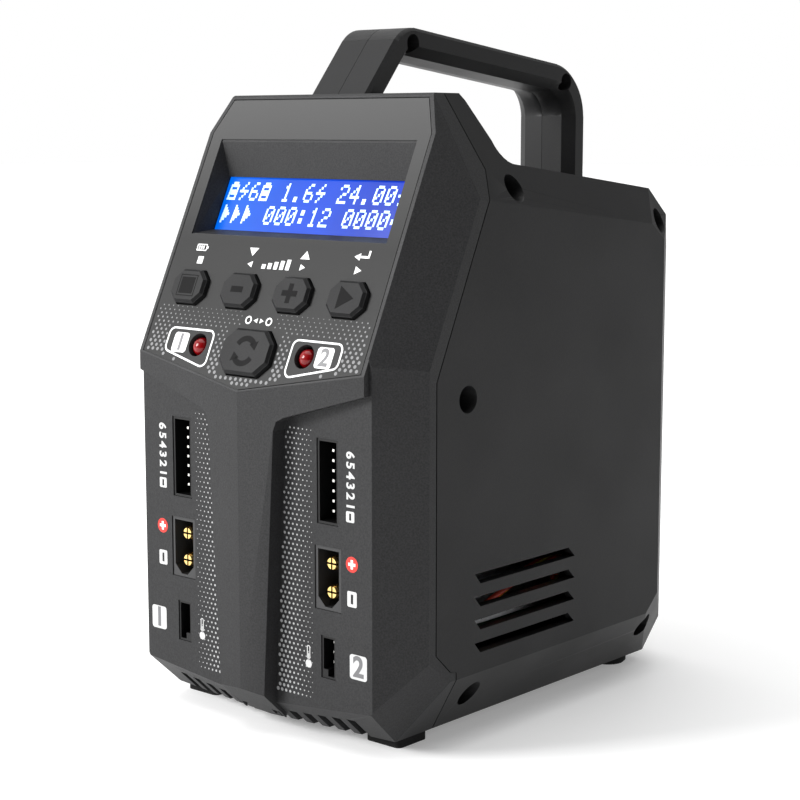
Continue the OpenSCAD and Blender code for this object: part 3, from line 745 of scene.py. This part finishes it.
def thermometer(marks, x):
    """A thermometer pictogram: a tube, a bulb and the column between them."""
    tube_z, bulb_z, column_z = 23.8, 20.9, 22.6
    tube = rounded(box_outline(x, tube_z, 1.1, 3.6), 0.5)
    bore = rounded(box_outline(x, tube_z, 0.6, 3.1), 0.27)
    marks.ring(tube, bore)
    marks.solid(disc(x, bulb_z, 1.05))
    marks.solid(box_outline(x, column_z, 0.34, 1.8))


def panel_marks():
    """Pin numbers, polarity marks, channel tags and thermometers beside the sockets."""
    numeral_x, badge_x, tag_x, sensor_x = 33.5, 34, 36, 19.3
    ground_z = LOWEST_PIN - 0.1
    plus_z, minus_z, tag_z = 48.3, 39.7, 23.0
    numeral_size, channel_size, sideways = 3.6, 7.2, -90
    marks = Print("panel_marks", PANEL, PANEL_FACE, PALE)
    digits = Print("panel_numbers", PANEL, PANEL_FACE, PALE)
    red = Print("plus_badges", PANEL, PANEL_FACE, RED)
    over = Print("badge_plus", PANEL, PANEL_FACE + INK, WHITE, THIN_INK)
    channels = Print("badge_marks", PANEL, PANEL_FACE + INK, MID_GREY, THIN_INK)
    for side, channel in ((-1, "1"), (1, "2")):
        x = side * numeral_x
        for k in range(1, 7):
            digits.text(str(k), x, LOWEST_PIN + PIN_PITCH * k, numeral_size, sideways)
        marks.ring(box_outline(x, ground_z, 2.7, 2.7, 0.4), box_outline(x, ground_z, 0.7, 1.7, 0.05))
        x = side * badge_x
        plus_badge(red, over, x, plus_z)
        marks.ring(box_outline(x, minus_z, 3.1, 3.9, 0.45), box_outline(x, minus_z, 0.8, 2.4, 0.05))
        marks.solid(box_outline(side * tag_x, tag_z, 5.6, 6.2, 0.8))
        channels.text(channel, side * tag_x, tag_z - 0.1, channel_size)
        thermometer(marks, side * sensor_x)
    for mark in (marks, digits, red, over, channels):
        mark.done()


def ridge_half(z):
    """Half width of the ridge where it meets the panels."""
    foot_half, foot_z = 7.6, 6
    widening, height = 4.0, 73
    return foot_half + (z - foot_z) * widening / height


def panel_dots():
    """Halftone dots between the ridge and the sockets, larger towards the ridge and the bottom."""
    marks = Print("panel_dots", PANEL, PANEL_FACE, DOT, THIN_INK)
    pitch, row_pitch = 1.42, 1.27
    bottom, top, outer_limit = 12.4, 82.0, 20.6
    ridge_gap = 0.55
    smallest, bottom_growth, height_loss = 0.12, 0.40, 0.20
    for row in range(int((top - bottom) / row_pitch)):
        z = bottom + row * row_pitch
        height = (z - bottom) / (top - bottom)
        column_shift = 0.5 if row % 2 else 0.0
        for column in range(5, 15):
            x = (column + column_shift) * pitch
            gap = x - ridge_half(z)
            if gap < ridge_gap or x > outer_limit:
                continue
            fade = 1 - gap / (outer_limit - ridge_half(z))
            radius = smallest + (bottom_growth - height_loss * height) * fade
            for side in (-1, 1):
                marks.solid(disc(side * x, z, radius, DOT_SIDES))
    marks.done()


# ---------------------------------------------------------------- hidden wiring

def lead(name, points, radius, material):
    """A fixed internal lead between two boards, as a smooth tube."""
    curve = bpy.data.curves.new(name, "CURVE")
    curve.dimensions = "3D"
    curve.bevel_depth = radius * MM
    curve.bevel_resolution = 3
    curve.resolution_u = 8
    spline = curve.splines.new("NURBS")
    spline.points.add(len(points) - 1)
    for point, place in zip(spline.points, points):
        point.co = (*(c * MM for c in place), 1)
    spline.use_endpoint_u = True
    spline.order_u = 4
    curve.materials.append(material)
    obj = bpy.data.objects.new(name, curve)
    bpy.context.scene.collection.objects.link(obj)
    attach(obj, ROOT)


def internal_leads():
    """Three leads at each side that bow outwards between the front and the main board."""
    radius = 0.8
    for side, hand in ((-1, "left"), (1, "right")):
        for k, colour in enumerate((WIRE_RED, YELLOW, WIRE_RED)):
            bow = side * (40.5 + 1.8 * k)
            points = [
                (side * 33, -20 + k, 24),
                (bow, -16, 30 + 3 * k),
                (bow + 0.5 * side, 0, 41 - 2 * k),
                (bow, 14, 38 + 2 * k),
                (side * 34, 22 - k, 30),
            ]
            lead(f"board_lead_{hand}_{k}", points, radius, colour)


# ---------------------------------------------------------------- stage, light and camera

FLOOR_HALF = 6.0
FILL = 0.04                 # light from everywhere
# Bright parts of the sky that light the charger: direction and strength
SKY_LOBES = (((-0.93, -0.30, 0.20), 1.2), ((0.55, 0.75, 0.35), 0.45))
KEY_LIGHT = (-0.70, -0.95, 0.62)
KEY_TARGET = (0, -0.02, 0.09)
KEY_SIZE = 0.5
KEY_WATTS = 21
SUN_STRENGTH = 1.9
SUN_SPREAD = math.radians(70)
SUN_TILT = (math.radians(-8), math.radians(-6), 0)
CAMERA_PLACE = (0.32764, -0.38046, 0.15243)
CAMERA_AZIMUTH = math.radians(41.102)
CAMERA_TILT = math.radians(8.399)
CAMERA_LENS = 82.9


def floor():
    mesh = bmesh.new()
    bmesh.ops.create_grid(mesh, x_segments=1, y_segments=1, size=FLOOR_HALF)
    data = bpy.data.meshes.new("floor")
    mesh.to_mesh(data)
    mesh.free()
    obj = bpy.data.objects.new("floor", data)
    bpy.context.scene.collection.objects.link(obj)
    data.materials.append(floor_paint("floor_paint"))


def sky():
    """White to the camera; for lighting, bright at the left and the rear right, dim towards the camera."""
    world = bpy.data.worlds.new("studio")
    world.use_nodes = True
    tree = world.node_tree
    background = tree.nodes["Background"]
    background.inputs["Color"].default_value = (1.0, 1.0, 1.0, 1)
    heading = tree.nodes.new("ShaderNodeTexCoord").outputs["Generated"]
    strength = tree.nodes.new("ShaderNodeValue").outputs["Value"]
    strength.default_value = FILL
    for direction, level in SKY_LOBES:
        toward = tree.nodes.new("ShaderNodeVectorMath")
        toward.operation = "DOT_PRODUCT"
        toward.inputs[1].default_value = direction
        tree.links.new(heading, toward.inputs[0])
        lobe = tree.nodes.new("ShaderNodeMapRange")
        lobe.inputs["To Max"].default_value = level
        tree.links.new(toward.outputs["Value"], lobe.inputs["Value"])
        total = tree.nodes.new("ShaderNodeMath")
        tree.links.new(lobe.outputs["Result"], total.inputs[0])
        tree.links.new(strength, total.inputs[1])
        strength = total.outputs["Value"]
    direct = tree.nodes.new("ShaderNodeMix")
    direct.inputs["B"].default_value = 1.0
    tree.links.new(tree.nodes.new("ShaderNodeLightPath").outputs["Is Camera Ray"], direct.inputs["Factor"])
    tree.links.new(strength, direct.inputs["A"])
    tree.links.new(direct.outputs["Result"], background.inputs["Strength"])
    bpy.context.scene.world = world


def lights():
    """A soft square light at the front left, and a broad soft sun overhead."""
    bpy.context.scene.view_settings.view_transform = "Standard"
    key = bpy.data.lights.new("key", "AREA")
    key.shape = "RECTANGLE"
    key.size = KEY_SIZE
    key.size_y = KEY_SIZE
    key.energy = KEY_WATTS
    obj = bpy.data.objects.new("key", key)
    obj.location = KEY_LIGHT
    obj.rotation_euler = (Vector(KEY_TARGET) - Vector(KEY_LIGHT)).to_track_quat("-Z", "Y").to_euler()
    bpy.context.scene.collection.objects.link(obj)
    overhead = bpy.data.lights.new("overhead", "SUN")
    overhead.energy = SUN_STRENGTH
    overhead.angle = SUN_SPREAD
    obj = bpy.data.objects.new("overhead", overhead)
    obj.rotation_euler = SUN_TILT
    bpy.context.scene.collection.objects.link(obj)


def camera():
    data = bpy.data.cameras.new("camera")
    data.sensor_width = 36
    data.lens = CAMERA_LENS
    obj = bpy.data.objects.new("camera", data)
    obj.location = CAMERA_PLACE
    obj.rotation_euler = (math.pi / 2 - CAMERA_TILT, 0, CAMERA_AZIMUTH)
    bpy.context.scene.collection.objects.link(obj)
    bpy.context.scene.camera = obj


label_rim()
lamp_frames()
key_legends()
label_dots()
display_characters()
key_icons()
panel_marks()
panel_dots()
internal_leads()
floor()
sky()
lights()
camera()
